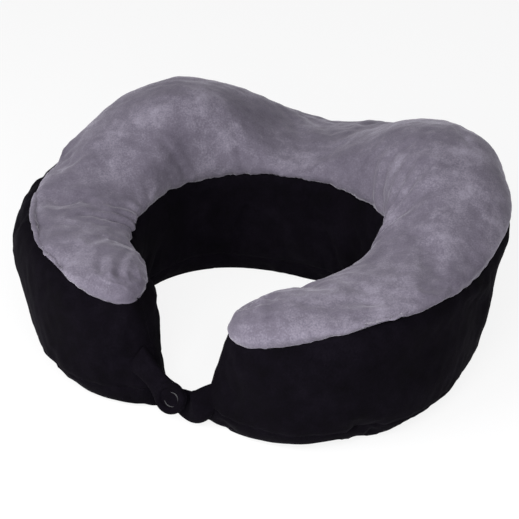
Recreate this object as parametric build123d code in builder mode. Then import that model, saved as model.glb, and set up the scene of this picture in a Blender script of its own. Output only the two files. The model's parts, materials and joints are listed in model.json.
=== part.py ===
"""U-shaped travel neck pillow.

A moulded memory-foam core sits in a removable velour cover. The cover is sewn from four
panels, opens with a coil zip low on the outside of the back, and has a strap on each arm
that meet in a snap fastener across the front.

Frame: millimetres, +Z up, the opening between the arms faces -Y, the origin lies on the
floor under the middle of the bounding box. Angles round the ring start at the back (+Y)
and grow towards +X.
"""

import os
from math import asin, cos, degrees, radians, sin, sqrt, tan
from typing import NamedTuple

from build123d import *

os.makedirs("parts", exist_ok=True)

# ---------------------------------------------------------------- ring of the pillow
ring_half_width = 103.0  # centreline ellipse, middle to side
ring_half_depth = 95.0  # centreline ellipse, middle to back
pillow_height = 120.0  # top of the two lobes at the back
back_height = 90.0  # dip between them, three quarters of the pillow's height
side_height = 93.0
arm_height = 81.0  # arms and their tips, about two thirds of the pillow's height
tip_spread = 31.0  # between the two ends of the centreline
tip_round = 45.0  # length over which an arm rounds off to its tip
tip_shares = [0.0045, 0.046, 0.11, 0.26, 0.565, 1.0]  # where sections stand along that length
tip_lean = 12.0  # degrees by which the tips lean apart towards the top
floor_radius = 14.0  # bottom edge of the pillow, up to the seam of the bottom panel
wall_lean = 12.0  # degrees by which the outer wall leans out at the back

# ---------------------------------------------------------------- cover and core
cover_thickness = 2.0
core_gap = 0.3  # between the cover and the foam
tip_slack = 0.5  # spare length of the cover past the foam at each tip
seam_gap = 0.3  # between the panels along their seams
floor_tolerance = 0.001  # a rail this low lies on the floor
least_share = 0.006  # width of the lining, as a share, where a tip closes


class Section(NamedTuple):
    """Cross section of the pillow at one angle round the ring.

    Offsets run outwards from the centreline, heights up from the floor. The feet lie at
    the top of the floor radius, the seams at the edges of the top panel.
    """

    angle: float
    foot_out: float
    foot_in: float
    lean_out: float
    seam_out: float
    seam_out_height: float
    bulge_out: float
    seam_in: float
    seam_in_height: float
    crown: float
    crown_height: float


back_foot_out = 38.0
lobe_angle = 45.0  # where the lobes stand highest
last_angle = 165.0  # of the last section before an arm closes
seam_width_back = 88.0  # top panel, seam to seam
seam_width_tip = 48.0
outer_seam_back = 70.0  # height of the outer seam
outer_seam_lobe = 86.0
outer_seam_tip = 62.0
inner_seam_back = 78.0  # height of the inner seam
inner_seam_lobe = 74.0
inner_seam_tip = 64.0


def make_section(angle, shift, foot_out, foot_in, lean_out, bulge_out, crown, crown_height):
    """Section at an angle, with its top panel shifted outwards by some length.

    The panel narrows evenly from the back to the tips. Its seams fall evenly from the
    lobes to the tips.
    """
    half_width = (seam_width_back + (seam_width_tip - seam_width_back) * angle / last_angle) / 2
    fall = (angle - lobe_angle) / (last_angle - lobe_angle)
    outer_height = outer_seam_lobe + (outer_seam_tip - outer_seam_lobe) * fall
    inner_height = inner_seam_lobe + (inner_seam_tip - inner_seam_lobe) * fall
    if angle < lobe_angle:
        outer_height, inner_height = outer_seam_back, inner_seam_back
    outer = (foot_out, foot_in, lean_out, shift + half_width, outer_height, bulge_out)
    return Section(angle, *outer, shift - half_width, inner_height, crown, crown_height)


back = make_section(0, 2.0, back_foot_out, -36.0, wall_lean, 4.0, 6.0, back_height)
hump = make_section(lobe_angle, 10.0, 33.0, -28.0, wall_lean, 2.0, 6.0, pillow_height)
side = make_section(90, 5.0, 32.0, -26.0, 8.0, 2.0, 5.0, side_height)
arm = make_section(130, 3.0, 34.0, -25.0, 8.0, 7.0, 4.0, arm_height)
tip = make_section(last_angle, 0.0, 24.0, -22.0, 3.0, 4.0, 1.0, arm_height)
stations = [back, hump, side, arm, tip]
inner_lean = 6.0  # degrees by which the inner wall leans towards the neck
inner_bulge = 4.0

# ---------------------------------------------------------------- zip
zip_height = floor_radius
zip_end = 42.0  # angle at which the closed chain ends, each side of the back
zip_slot = 8.8  # opening left between the panels
tape_thickness = 0.5
tape_reach = 6.0  # from the chain's middle to a tape's far edge
tape_sink = 1.7  # how far behind the panels the tapes lie, clear of the bottom panel's curl
tape_overrun = 4.0  # degrees of tape past each end of the chain
coil_width = 2.5  # one side of the chain
coil_height = 2.0
stop_length = 1.6
slider_length = 11.0
slider_width = 8.0
slider_plate = 1.2
zip_cut_reach = 8.0  # how far the cuts for the zip reach past the cover
slider_clearance = 0.42
pull_length = 24.0
pull_width = 7.0
pull_thickness = 1.2
pull_eye_width = 2.9
pull_eye_length = 4.6
bridge_width = 2.2
bridge_length = 6.0
bridge_height = 3.9
bridge_wall = 0.95
pull_play = 0.35  # between the pull's bar and the bridge

# ---------------------------------------------------------------- straps and snap
snap_side = -2.5  # the fastener sits a little towards the left arm
snap_forward = 10.5  # in front of the arm tips
snap_height = 14.5
snap_tilt = 20.0  # degrees by which the fastener faces upwards
snap_gap = 0.3  # between socket and stud when fastened
strap_root_gap = 0.75  # between a strap's root and the tip that it is sewn into
left_strap_thickness = 3.0
left_strap_bevel = 0.7
left_end_radius = 7.5
left_root_low = 6.0
left_root_high = 19.0
right_strap_thickness = 2.2
right_end_radius = 6.5
right_root_low = 0.0
right_root_high = 13.0
belly_radius = 8.0  # where the right strap sags
belly_side = 11.0
belly_drop = 2.6
cap_radius = 4.6
cap_thickness = 1.0
post_radius = 1.2
socket_thickness = 1.6
stud_base_thickness = 1.2
stud_head_radius = 2.0
stud_head_height = 1.1
socket_recess_depth = 1.2

# ---------------------------------------------------------------- derived places
tip_angle = 180 - degrees(asin(tip_spread / 2 / ring_half_width))
snap_reach = snap_forward + ring_half_depth
back_reach = ring_half_depth + back.seam_out + 0.25 * back.bulge_out
front_reach = snap_reach + left_strap_thickness + socket_thickness + left_end_radius * sin(radians(snap_tilt))
ring_y = (front_reach - back_reach) / 2
ring_axis = Axis((0, ring_y, 0), (0, 0, 1))
mean_radius = (ring_half_width + ring_half_depth) / 2
zip_radius = ring_half_depth + back_foot_out
tape_depth = cover_thickness + tape_sink + tape_thickness / 2


def ring_point(angle):
    """Centreline point, measured from the ring's middle, and the direction out of it."""
    turn = radians(angle)
    centre = Vector(ring_half_width * sin(turn), ring_half_depth * cos(turn), 0)
    outward = Vector(sin(turn) / ring_half_width, cos(turn) / ring_half_depth, 0)
    return centre, outward.normalized()


def section_at(angle):
    """Section values at any angle, straight-line between the stations.

    From hump to hump the foot of the outer wall keeps to one circle, which the zip follows.
    """
    angle = min(abs(angle), tip.angle)
    after = max(next(i for i, station in enumerate(stations) if station.angle >= angle), 1)
    low, high = stations[after - 1], stations[after]
    share = (angle - low.angle) / (high.angle - low.angle)
    values = Section(*(a + (b - a) * share for a, b in zip(low, high)))
    if angle > hump.angle:
        return values
    centre, outward = ring_point(angle)
    along = centre.dot(outward)
    reach = sqrt(along**2 - centre.dot(centre) + zip_radius**2)
    return values._replace(foot_out=reach - along)


def station_plane(angle):
    """Plane across the ring: x outwards, y up, leaning back near the arm tips."""
    centre, outward = ring_point(angle)
    along = outward.cross(Vector(0, 0, 1))
    lean = -tan(radians(tip_lean)) * abs(angle / tip_angle) ** 6
    lean = lean if angle > 0 else -lean
    upward = (Vector(0, 0, 1) + along * lean).normalized()
    return Plane(origin=centre + Vector(0, ring_y, 0), x_dir=outward, z_dir=outward.cross(upward))


def section_curves(angle):
    """The cross section as seven Bezier curves, counter-clockwise from the floor."""
    s = section_at(angle)
    r = floor_radius
    lean_out = tan(radians(s.lean_out))
    lean_in = tan(radians(inner_lean))
    rise_out = s.seam_out_height - r
    rise_in = s.seam_in_height - r
    top_out = s.crown_height - s.seam_out_height
    top_in = s.crown_height - s.seam_in_height
    third = (s.foot_out - s.foot_in - 2 * r) / 3
    floor = [
        (s.foot_in + r, 0),
        (s.foot_in + r + third, 0),
        (s.foot_out - r - third, 0),
        (s.foot_out - r, 0),
    ]
    corner_out = [
        (s.foot_out - r, 0),
        (s.foot_out - 0.45 * r, 0),
        (s.foot_out - 0.5 * r * lean_out, 0.5 * r),
        (s.foot_out, r),
    ]
    wall_out = [
        (s.foot_out, r),
        (s.foot_out + 0.35 * rise_out * lean_out, r + 0.35 * rise_out),
        (s.seam_out + s.bulge_out, s.seam_out_height - 0.3 * rise_out),
        (s.seam_out, s.seam_out_height),
    ]
    crown_out = [
        (s.seam_out, s.seam_out_height),
        (s.seam_out + 1, s.seam_out_height + 0.6 * top_out),
        (s.crown + 0.6 * (s.seam_out - s.crown), s.crown_height),
        (s.crown, s.crown_height),
    ]
    crown_in = [
        (s.crown, s.crown_height),
        (s.crown + 0.6 * (s.seam_in - s.crown), s.crown_height),
        (s.seam_in - 1, s.seam_in_height + 0.6 * top_in),
        (s.seam_in, s.seam_in_height),
    ]
    wall_in = [
        (s.seam_in, s.seam_in_height),
        (s.seam_in - inner_bulge, s.seam_in_height - 0.3 * rise_in),
        (s.foot_in - 0.35 * rise_in * lean_in, r + 0.35 * rise_in),
        (s.foot_in, r),
    ]
    corner_in = [
        (s.foot_in, r),
        (s.foot_in + 0.5 * r * lean_in, 0.5 * r),
        (s.foot_in + 0.45 * r, 0),
        (s.foot_in + r, 0),
    ]
    curves = [floor, corner_out, wall_out, crown_out, crown_in, wall_in, corner_in]
    return [[Vector(*point) for point in curve] for curve in curves]


def inset_curves(curves, inset):
    """Move a closed loop of Bezier curves inwards by the inset."""

    def inward(start, end):
        along = (end - start).normalized()
        return Vector(-along.Y, along.X)

    joints = []
    for before, after in zip([curves[-1]] + curves[:-1], curves):
        both = inward(before[2], before[3]) + inward(after[0], after[1])
        joints.append(after[0] + both * (2 * inset / both.dot(both)))
    moved = []
    for curve, start, end in zip(curves, joints, joints[1:] + joints[:1]):
        scale = (end - start).length / (curve[3] - curve[0]).length
        handle_start = start + (curve[1] - curve[0]) * scale
        handle_end = end + (curve[2] - curve[3]) * scale
        moved.append([start, handle_start, handle_end, end])
    return moved


def form_stations():
    """Angles of the sections, with the length of arm that is left beyond each of them."""
    left = [share * tip_round for share in tip_shares]
    half = [(tip_angle - degrees(length / mean_radius), length) for length in left]
    half += [(angle, tip_round) for angle in (arm.angle, side.angle, hump.angle, hump.angle / 2)]
    return [(-angle, length) for angle, length in half] + [(back.angle, tip_round)] + half[::-1]


def width_share(length, inset):
    """Share of its full width that an arm has where this length of it is left."""
    reach = tip_round - inset
    share = (reach - (length - inset)) / reach
    return sqrt(1 - share**2) if share < 1 else 0.0


def narrowed(point, angle, share):
    """Draw a section point towards the middle of its section, as an arm's tip does."""
    s = section_at(angle)
    middle = (s.seam_out + s.seam_in) / 2
    seam_height = (s.seam_out_height + s.seam_in_height) / 2
    height = point.Y
    if height > seam_height:
        height = seam_height + (height - seam_height) * share**0.8
    return Vector(middle + (point.X - middle) * share, height)


def skin(angle, length, inset, picked, counts):
    """Points along some of the section's curves, inset and drawn in at the tip."""
    curves = section_curves(angle)
    if inset:
        curves = inset_curves(curves, inset)
    share = max(width_share(length, inset), least_share)
    points = [curves[picked[0]][0]]
    for index in picked:
        start, handle_start, handle_end, end = curves[index]
        for step in range(1, counts[index] + 1):
            t = step / counts[index]
            near = start * (1 - t) ** 3 + handle_start * (3 * t * (1 - t) ** 2)
            far = handle_end * (3 * t**2 * (1 - t)) + end * t**3
            points.append(near + far)
    return [narrowed(point, angle, share) for point in points]


def shortened(points, trim):
    """Points of an open line, with both ends drawn back by the trim."""
    first = points[0] + (points[1] - points[0]).normalized() * trim
    last = points[-1] + (points[-2] - points[-1]).normalized() * trim
    return [first] + points[1:-1] + [last]


def strip_between(rail, next_rail):
    """Face between two rails: plane where both lie on the floor, ruled elsewhere."""
    if max(rail.bounding_box().max.Z, next_rail.bounding_box().max.Z) > floor_tolerance:
        return Face.make_surface_from_curves(rail, next_rail)
    ends = [Edge.make_line(rail @ end, next_rail @ end) for end in (0, 1)]
    return Face(Wire([rail, ends[1], next_rail, ends[0]]))


def ring_solid(sections):
    """Solid skinned over sections of like points, smooth along the ring.

    Each section is a list of points across the ring. Every row of points becomes a rail,
    and a strip is ruled between each pair of rails.
    """
    steps = [
        sum((b - a).length for a, b in zip(before, after))
        for before, after in zip(sections, sections[1:])
    ]
    spread = [sum(steps[:index]) / sum(steps) for index in range(len(sections))]
    rails = [Edge.make_spline(list(row), parameters=spread) for row in zip(*sections)]
    strips = [strip_between(a, b) for a, b in zip(rails, rails[1:] + rails[:1])]
    ends = [Face(Wire.make_polygon(section)) for section in (sections[0], sections[-1])]
    return Solid(Shell(strips + ends))


def cover_panel(picked):
    """A panel of the cover: the strip of its skin that the picked section curves bound."""
    sections = []
    for angle, length in form_stations():
        outside = skin(angle, length, 0, picked, outside_counts)
        inside = skin(angle, length, cover_thickness, picked, lining_counts)
        outline = shortened(outside, seam_gap / 2) + shortened(inside, seam_gap / 2)[::-1]
        plane = station_plane(angle)
        sections.append([plane.from_local_coords(point) for point in outline])
    return ring_solid(sections)


def whole_shape(inset, slack, counts):
    """The whole section, moved inwards by the inset, and shorter at the tips by the slack."""
    sections = []
    for angle, length in form_stations():
        if length > inset + slack:
            points = skin(angle, length - slack, inset, range(7), counts)
            plane = station_plane(angle)
            sections.append([plane.from_local_coords(point) for point in points[:-1]])
    return ring_solid(sections)


def zip_plane(angle):
    """Plane across the zip at an angle round the back: x out of the wall, y up it."""
    turn = radians(angle)
    lean = radians(wall_lean)
    out = Vector(sin(turn), cos(turn), 0)
    outward = out * cos(lean) - Vector(0, 0, sin(lean))
    upward = out * sin(lean) + Vector(0, 0, cos(lean))
    origin = out * zip_radius + Vector(0, ring_y, zip_height)
    return Plane(origin=origin, x_dir=outward, z_dir=outward.cross(upward))


def zip_band(x_low, x_high, y_low, y_high, angle_low, angle_high):
    """A rectangle in the zip's cross plane, swept round the back between two angles."""
    with BuildPart() as band:
        with BuildSketch(zip_plane(angle_high)):
            with Locations(((x_low + x_high) / 2, (y_low + y_high) / 2)):
                Rectangle(x_high - x_low, y_high - y_low)
        revolve(axis=ring_axis, revolution_arc=angle_high - angle_low)
    return band.part


def zip_degrees(length):
    """Angle that a length takes along the zip."""
    return degrees(length / zip_radius)


# ================================================================ section curves by name
floor_curve, corner_out, wall_out, crown_out, crown_in, wall_in, corner_in = range(7)
outside_counts = [1, 3, 3, 4, 4, 3, 2]
lining_counts = [1, 2, 2, 3, 3, 2, 2]
core_counts = [1, 2, 2, 3, 3, 2, 2]

# ================================================================ foam core
slider_angle = zip_end - 2.0
slot_end = slider_angle + zip_degrees(slider_length / 2 + 2 * stop_length + 1.5)
slider_depth = tape_depth + coil_height / 2 + slider_clearance + slider_plate
relief_depth = slider_depth + 0.6
relief_reach = tape_reach + 1.0
relief_end = zip_end + tape_overrun + 1.0

core_form = whole_shape(cover_thickness + core_gap, tip_slack, core_counts)
core_relief = zip_band(-relief_depth, zip_cut_reach, -relief_reach, relief_reach, -relief_end, relief_end)
with BuildPart() as foam_core:
    add(core_form)
    add(core_relief, mode=Mode.SUBTRACT)
foam_core.part.label = "foam_core"

# ================================================================ cover panels
top_form = cover_panel([crown_out, crown_in])
outer_form = cover_panel([wall_out])
inner_form = cover_panel([wall_in])
bottom_form = cover_panel([corner_in, floor_curve, corner_out])
slot_depth = cover_thickness + tape_sink
slot_cut = zip_band(-slot_depth, zip_cut_reach, -zip_slot / 2, zip_slot / 2, -slot_end, slot_end)

with BuildPart() as top_panel:
    add(top_form)
top_panel.part.label = "top_panel"

with BuildPart() as outer_side_panel:
    add(outer_form)
    add(slot_cut, mode=Mode.SUBTRACT)
outer_side_panel.part.label = "outer_side_panel"

with BuildPart() as inner_side_panel:
    add(inner_form)
inner_side_panel.part.label = "inner_side_panel"

with BuildPart() as bottom_panel:
    add(bottom_form)
    add(slot_cut, mode=Mode.SUBTRACT)
bottom_panel.part.label = "bottom_panel"

# ================================================================ zip tapes and chain
tape_end = zip_end + tape_overrun
tape_near, tape_far = -tape_depth - tape_thickness / 2, -tape_depth + tape_thickness / 2
coil_near, coil_far = -tape_depth - coil_height / 2, -tape_depth + coil_height / 2
coil_edge = coil_width + 0.05

tape_upper_form = zip_band(tape_near, tape_far, coil_edge, tape_reach, -tape_end, tape_end)
with BuildPart() as zipper_tape_upper:
    add(tape_upper_form)
zipper_tape_upper.part.label = "zipper_tape_upper"

tape_lower_form = zip_band(tape_near, tape_far, -tape_reach, -coil_edge, -tape_end, tape_end)
with BuildPart() as zipper_tape_lower:
    add(tape_lower_form)
zipper_tape_lower.part.label = "zipper_tape_lower"

coil_upper_form = zip_band(coil_near, coil_far, 0.03, coil_width, -zip_end, slider_angle)
with BuildPart() as zipper_coil_upper:
    add(coil_upper_form)
zipper_coil_upper.part.label = "zipper_coil_upper"

coil_lower_form = zip_band(coil_near, coil_far, -coil_width, -0.03, -zip_end, slider_angle)
with BuildPart() as zipper_coil_lower:
    add(coil_lower_form)
zipper_coil_lower.part.label = "zipper_coil_lower"

top_stop_start = slider_angle + zip_degrees(slider_length / 2 + 0.5)
top_stop_end = top_stop_start + zip_degrees(stop_length)
stop_side = slider_plate / 2 + 0.3
upper_stop = zip_band(coil_near, coil_far, stop_side, coil_width, top_stop_start, top_stop_end)
lower_stop = zip_band(coil_near, coil_far, -coil_width, -stop_side, top_stop_start, top_stop_end)
with BuildPart() as zipper_top_stops:
    add(upper_stop)
    add(lower_stop)
zipper_top_stops.part.label = "zipper_top_stops"

bottom_stop_start = -zip_end - zip_degrees(stop_length + 0.05)
bottom_stop_end = -zip_end - zip_degrees(0.05)
bottom_stop_form = zip_band(
    coil_near, coil_far, -coil_width, coil_width, bottom_stop_start, bottom_stop_end
)
with BuildPart() as zipper_bottom_stop:
    add(bottom_stop_form)
zipper_bottom_stop.part.label = "zipper_bottom_stop"

# ================================================================ zip slider and pull
# The slider's own plane: x along the zip towards its open end, y down the wall, z out of it.
across = zip_plane(slider_angle)
slider_face = Plane(origin=across.origin, x_dir=across.z_dir, z_dir=across.x_dir)
channel_low = coil_near - slider_clearance
channel_high = coil_far + slider_clearance
slider_low = channel_low - slider_plate
slider_high = channel_high + slider_plate
channel_half = coil_width + slider_clearance
slot_low = tape_near - slider_clearance
slot_high = tape_far + slider_clearance
pivot_lift = bridge_height - bridge_wall - pull_play - pull_thickness / 2
wedge_length = 3.5

with BuildPart() as zipper_slider:
    with BuildSketch(slider_face.offset(slider_low)):
        Rectangle(slider_length, slider_width)
        chamfer(vertices().group_by(Axis.X)[0], 1.4)
    extrude(amount=slider_high - slider_low)
    with BuildSketch(slider_face.offset(channel_low)):
        Rectangle(slider_length, 2 * channel_half)
    extrude(amount=channel_high - channel_low, mode=Mode.SUBTRACT)
    with BuildSketch(slider_face.offset(slot_low)):
        Rectangle(slider_length, slider_width)
    extrude(amount=slot_high - slot_low, mode=Mode.SUBTRACT)
    with BuildSketch(slider_face.offset(channel_low)):
        with Locations((slider_length / 2 - wedge_length / 2, 0)):
            Trapezoid(slider_plate * 2, wedge_length, 80, rotation=90)
    extrude(amount=channel_high - channel_low)
    bridge_side = Plane(
        origin=slider_face.from_local_coords((0, 0, slider_high)),
        x_dir=slider_face.x_dir,
        z_dir=-slider_face.y_dir,
    )
    with BuildSketch(bridge_side):
        with Locations((0, bridge_height / 2)):
            Rectangle(bridge_length, bridge_height)
        top_corners = vertices().group_by(Axis.Y)[-1]
        chamfer(top_corners, 0.8)
        with Locations((0, (bridge_height - bridge_wall) / 2)):
            Rectangle(bridge_length / 2, bridge_height - bridge_wall, mode=Mode.SUBTRACT)
    extrude(amount=bridge_width / 2, both=True)
zipper_slider.part.label = "zipper_slider"

pull_plane = slider_face.offset(slider_high + pivot_lift)
with BuildPart() as zipper_pull:
    with BuildSketch(pull_plane.offset(-pull_thickness / 2)):
        with Locations(((pull_thickness - pull_length) / 2, 0)):
            RectangleRounded(pull_length, pull_width, pull_width * 0.3)
        with Locations((-pull_eye_length / 2 - pull_thickness / 2, 0)):
            Rectangle(pull_eye_length, pull_eye_width, mode=Mode.SUBTRACT)
        with Locations((-pull_length + pull_width * 0.75, 0)):
            SlotOverall(pull_width * 0.9, pull_width * 0.35, mode=Mode.SUBTRACT)
    extrude(amount=pull_thickness)
zipper_pull.part.label = "zipper_pull"

# ================================================================ straps and snap
# The fastener's plane: x to the right, y up it, z out towards the front.
cover_outside = whole_shape(0, 0, outside_counts)
tilt = radians(snap_tilt)
snap_plane = Plane(
    origin=(snap_side, ring_y - snap_reach, snap_height),
    x_dir=(1, 0, 0),
    z_dir=(0, -cos(tilt), sin(tilt)),
)
left_low = socket_thickness
left_middle = left_low + left_strap_thickness / 2
left_high = left_low + left_strap_thickness
right_high = -snap_gap - stud_base_thickness
right_middle = right_high - right_strap_thickness / 2
right_low = right_high - right_strap_thickness
cap_sink = cap_thickness + 0.3


def strap_root(side, height, layer):
    """Place on the snap plane where a strap's root meets the tip of its arm."""
    start = snap_plane.from_local_coords((0, height, layer))
    outward = Vector(side, 0, 0)
    ray = Axis(start, outward)
    hits = [hit for face in cover_outside.faces() for hit, _ in face.find_intersection_points(ray)]
    distance = min((hit - start).dot(outward) for hit in hits if (hit - start).dot(outward) > 0)
    return Vector(side * (distance - strap_root_gap), height)


left_root = [strap_root(-1, height, left_low) for height in (left_root_low, left_root_high)]
right_root = [strap_root(1, height, right_low) for height in (right_root_low, right_root_high)]

belly = Vector(belly_side, -belly_drop)
belly_top = belly + Vector(belly_radius, 0).rotate(Axis.Z, 100)
belly_bottom = belly + Vector(belly_radius, 0).rotate(Axis.Z, -55)

with BuildPart() as strap_left:
    with BuildSketch(snap_plane.offset(left_low)):
        with BuildLine():
            Line(*left_root)
            CenterArc((0, 0), left_end_radius, 0, 360)
        make_hull()
    extrude(amount=left_strap_thickness)
    chamfer(edges().filter_by(lambda e: not e.is_interior and e.length > 1), left_strap_bevel)
    with BuildSketch(snap_plane.offset(left_high)):
        Circle(cap_radius + 0.3)
    extrude(amount=-cap_sink, mode=Mode.SUBTRACT)
    with BuildSketch(snap_plane.offset(left_low)):
        Circle(post_radius + 0.2)
    extrude(amount=left_strap_thickness, mode=Mode.SUBTRACT)
strap_left.part.label = "strap_left"

with BuildPart() as strap_right:
    with BuildSketch(snap_plane.offset(right_low)):
        Circle(right_end_radius)
        with Locations(belly):
            Circle(belly_radius)
        with BuildLine():
            Polyline(*right_root, belly_top, belly_bottom, close=True)
        make_face()
    extrude(amount=right_strap_thickness)
    with BuildSketch(snap_plane.offset(right_low)):
        Circle(post_radius + 0.2)
    extrude(amount=right_strap_thickness, mode=Mode.SUBTRACT)
strap_right.part.label = "strap_right"

with BuildPart() as snap_cap:
    with BuildSketch(snap_plane.offset(left_high - cap_sink + 0.05)):
        Circle(cap_radius)
    extrude(amount=cap_thickness)
    chamfer(faces().filter_by(lambda f: f.area > 10)[-1].edges(), 0.3)
    with BuildSketch(snap_plane.offset(left_low)):
        Circle(post_radius)
    extrude(amount=left_strap_thickness - cap_sink + 0.05)
snap_cap.part.label = "snap_cap"

with BuildPart() as snap_socket:
    with BuildSketch(snap_plane):
        Circle(cap_radius)
        Circle(stud_head_radius + 0.35, mode=Mode.SUBTRACT)
    extrude(amount=socket_recess_depth)
    with BuildSketch(snap_plane.offset(socket_recess_depth)):
        Circle(cap_radius)
    extrude(amount=socket_thickness - socket_recess_depth)
snap_socket.part.label = "snap_socket"

with BuildPart() as snap_stud:
    with BuildSketch(snap_plane.offset(-snap_gap)):
        Circle(cap_radius)
    extrude(amount=-stud_base_thickness)
    with BuildSketch(snap_plane.offset(-snap_gap)):
        Circle(stud_head_radius)
    extrude(amount=stud_head_height)
snap_stud.part.label = "snap_stud"

with BuildPart() as snap_back_cap:
    with BuildSketch(snap_plane.offset(right_low)):
        Circle(cap_radius)
    extrude(amount=-cap_thickness)
    with BuildSketch(snap_plane.offset(right_low)):
        Circle(post_radius)
    extrude(amount=right_strap_thickness)
snap_back_cap.part.label = "snap_back_cap"

pieces = [
    foam_core,
    top_panel,
    outer_side_panel,
    inner_side_panel,
    bottom_panel,
    zipper_tape_upper,
    zipper_tape_lower,
    zipper_coil_upper,
    zipper_coil_lower,
    zipper_top_stops,
    zipper_bottom_stop,
    zipper_slider,
    zipper_pull,
    strap_left,
    strap_right,
    snap_cap,
    snap_socket,
    snap_stud,
    snap_back_cap,
]
for piece in pieces:
    export_step(piece.part, f"parts/{piece.part.label}.step")

# Joint places for whoever mounts or moves the model.
print("ring_y", ring_y)
print("slider turns about", ring_axis.position, "pull about", pull_plane.origin, slider_face.y_dir)
for name, root, layer in (("left", left_root, left_middle), ("right", right_root, right_middle)):
    low, high = (snap_plane.from_local_coords((point.X, point.Y, layer)) for point in root)
    print(name, "strap turns about", low, "to", high)
print("snap at", snap_plane.origin, snap_plane.z_dir)
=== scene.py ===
# %% [markdown]
# # A U-shaped travel pillow
# The pillow is a ring of moulded foam in a sewn velour cover: grey on top, black round the sides
# and below. A zip hides in the lower back seam, and two short straps meet in a snap at the front.
# The frame gives the pieces that move and their places, and this notebook dresses them.

import json
import math

import bmesh
import bpy
import numpy as np
from mathutils import Matrix, Vector
from mathutils.bvhtree import BVHTree
from mathutils.kdtree import KDTree


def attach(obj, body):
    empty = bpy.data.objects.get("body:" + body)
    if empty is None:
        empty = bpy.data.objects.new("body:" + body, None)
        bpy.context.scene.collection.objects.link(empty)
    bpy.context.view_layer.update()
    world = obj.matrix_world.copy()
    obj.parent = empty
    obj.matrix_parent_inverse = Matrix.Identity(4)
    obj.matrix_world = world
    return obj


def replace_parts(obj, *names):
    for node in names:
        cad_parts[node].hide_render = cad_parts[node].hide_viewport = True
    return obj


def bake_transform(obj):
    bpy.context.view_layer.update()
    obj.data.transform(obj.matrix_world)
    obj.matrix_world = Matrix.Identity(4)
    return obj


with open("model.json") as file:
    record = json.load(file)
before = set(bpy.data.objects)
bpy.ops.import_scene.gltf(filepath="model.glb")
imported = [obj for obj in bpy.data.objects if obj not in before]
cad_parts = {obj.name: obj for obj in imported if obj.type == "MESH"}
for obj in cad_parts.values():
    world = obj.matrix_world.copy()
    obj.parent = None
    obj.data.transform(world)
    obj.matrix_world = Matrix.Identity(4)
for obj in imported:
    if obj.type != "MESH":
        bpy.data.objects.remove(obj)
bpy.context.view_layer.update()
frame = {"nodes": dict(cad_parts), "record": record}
cad = frame["nodes"]
mm = 0.001

# %% [markdown]
# ## Camera
# A product shot of a soft thing is taken with a long lens from about a metre, so that the near
# arm isn't blown up. The camera looks down at the opening from a little to one side. The ring's
# middle lies a little in front of the origin, because the straps add to the front.

# %% Camera
ring_middle_y = -14.67 * mm
look_at = Vector((0, ring_middle_y, 45 * mm))
camera_azimuth = math.radians(25)
camera_elevation = math.radians(30)
camera_distance = 900 * mm

camera_data = bpy.data.cameras.new("camera")
camera_data.lens = 104.5
camera_data.sensor_width = 36
camera_data.shift_y = 0.01
camera = bpy.data.objects.new("camera", camera_data)
level = math.cos(camera_elevation)
beside, before = math.sin(camera_azimuth), math.cos(camera_azimuth)
toward_camera = Vector((beside * level, -before * level, math.sin(camera_elevation)))
camera.location = look_at + toward_camera * camera_distance
camera.rotation_euler = (-toward_camera).to_track_quat("-Z", "Y").to_euler()
bpy.context.scene.collection.objects.link(camera)
bpy.context.scene.camera = camera
print("camera at", [round(value / mm) for value in camera.location], "mm")

# %% [markdown]
# ## Material helpers
# Every finish here is a handful of shader nodes. One function turns a hex colour into the linear
# numbers that the renderer works in, and one adds a node with its settings and its links.

# %% Material helpers


def linear(hex_code):
    """Linear colour of an sRGB hex code."""
    parts = [int(hex_code[i : i + 2], 16) / 255 for i in (0, 2, 4)]
    parts = [((p + 0.055) / 1.055) ** 2.4 if p > 0.04045 else p / 12.92 for p in parts]
    return (*parts, 1.0)


def add_node(tree, kind, settings=(), links=()):
    """Add a shader node. Settings are inputs' values or attributes, links are inputs' sources."""
    made = tree.nodes.new(kind)
    for name, value in dict(settings).items():
        if isinstance(name, int) or name in made.inputs:
            made.inputs[name].default_value = value
        else:
            setattr(made, name, value)
    for name, source in dict(links).items():
        tree.links.new(source, made.inputs[name])
    return made


def new_material(name):
    """An empty node material and its tree."""
    material = bpy.data.materials.new(name)
    material.use_nodes = True
    material.node_tree.nodes.clear()
    return material, material.node_tree


def per_mm(size):
    """Noise scale that gives grains of this size in millimetres."""
    return 1 / (size * mm)


def finish_surface(tree, settings, links):
    """A Principled surface as the tree's output."""
    surface = add_node(tree, "ShaderNodeBsdfPrincipled", settings, links)
    add_node(tree, "ShaderNodeOutputMaterial", links={"Surface": surface.outputs[0]})


# %% [markdown]
# ## Velour
# Short-pile velour is knitted with millions of upright fibres. Where a hand has brushed them the
# pile leans another way and catches more or less light, which gives soft cloudy patches. The
# fibres' tips glow where the cloth turns away from the eye, and that is what sheen is for.
# Three sizes of noise make the colour: brushed patches, clumps of pile and single tufts. Real
# tufts are a fraction of a millimetre wide, and they are drawn coarser here so that they show.

# %% Velour
clump_share, tuft_share = 0.34, 0.3
darkest_at, lightest_at = 0.34, 0.66


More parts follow.
